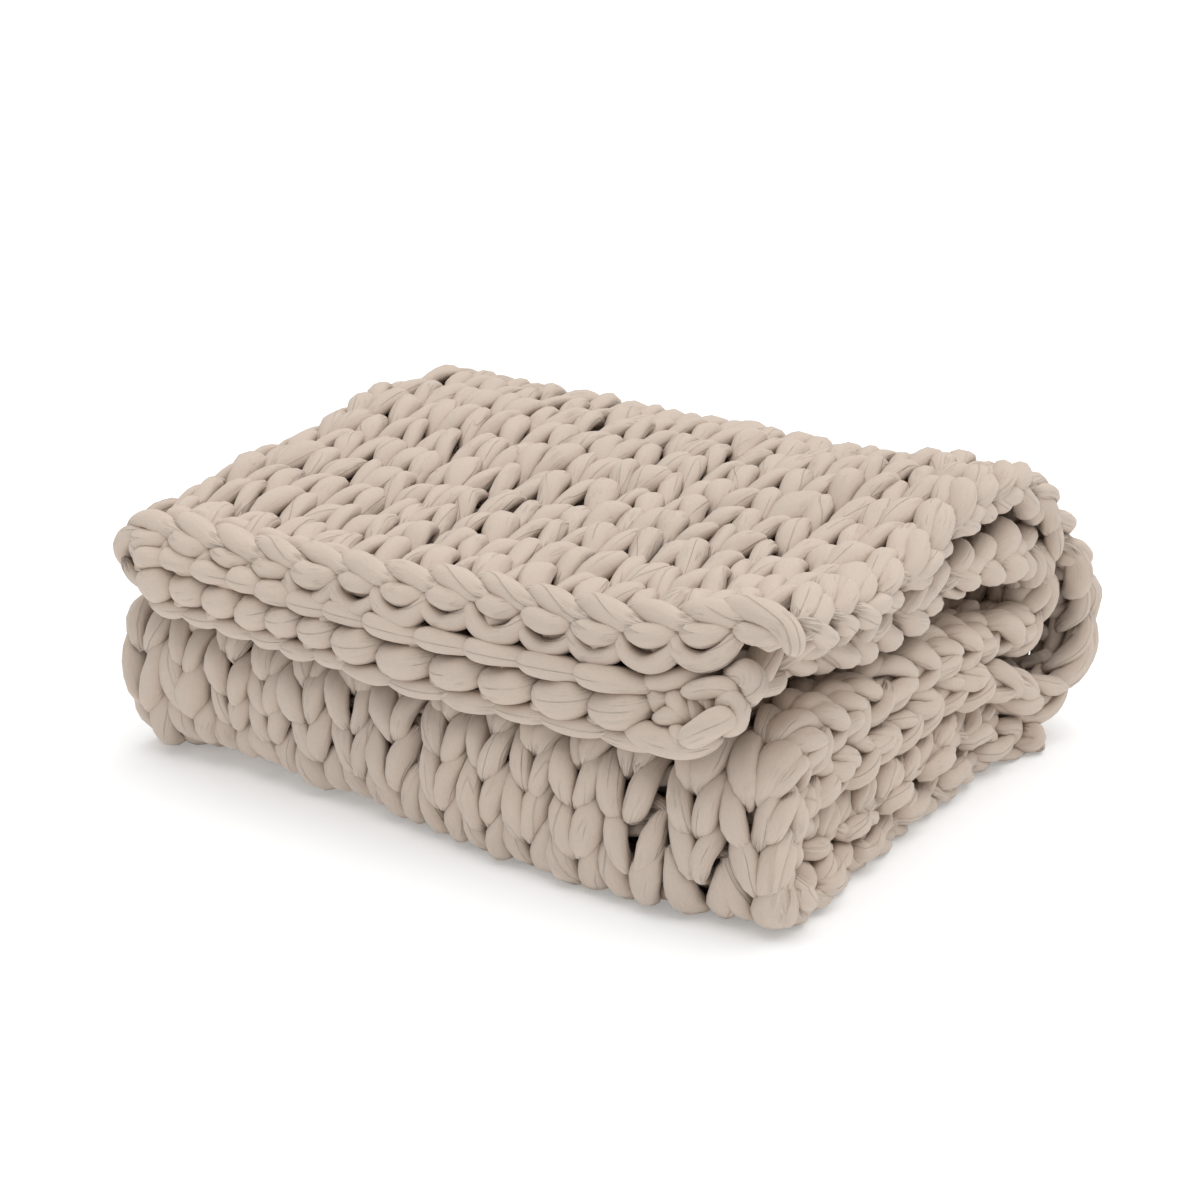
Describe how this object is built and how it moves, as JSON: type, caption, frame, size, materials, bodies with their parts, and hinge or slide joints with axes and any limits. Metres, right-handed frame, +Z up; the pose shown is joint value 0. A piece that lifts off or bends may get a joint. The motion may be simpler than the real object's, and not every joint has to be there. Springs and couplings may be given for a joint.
{
  "type": "folded knitted weighted blanket",
  "caption": "Chunky hand-knit weighted blanket, folded in half across and in thirds from front to back, with its bind-off edges at the front on top.",
  "frame": {"origin": "centre of the bounding box's base, on the surface that the folded blanket rests on", "axes": "+X across the stack, from its shared fold at the left to the side edges at the right; +Y from the front, where the bind-off edges lie, to the back; +Z up"},
  "size_m": [0.6611, 0.5492, 0.2719],
  "materials": {
    "jersey_yarn": "matt, smooth cotton jersey tube, stuffed, warm beige"
  },
  "bodies": {
    "root": {"blanket": "jersey_yarn"}
  },
  "joints": []
}
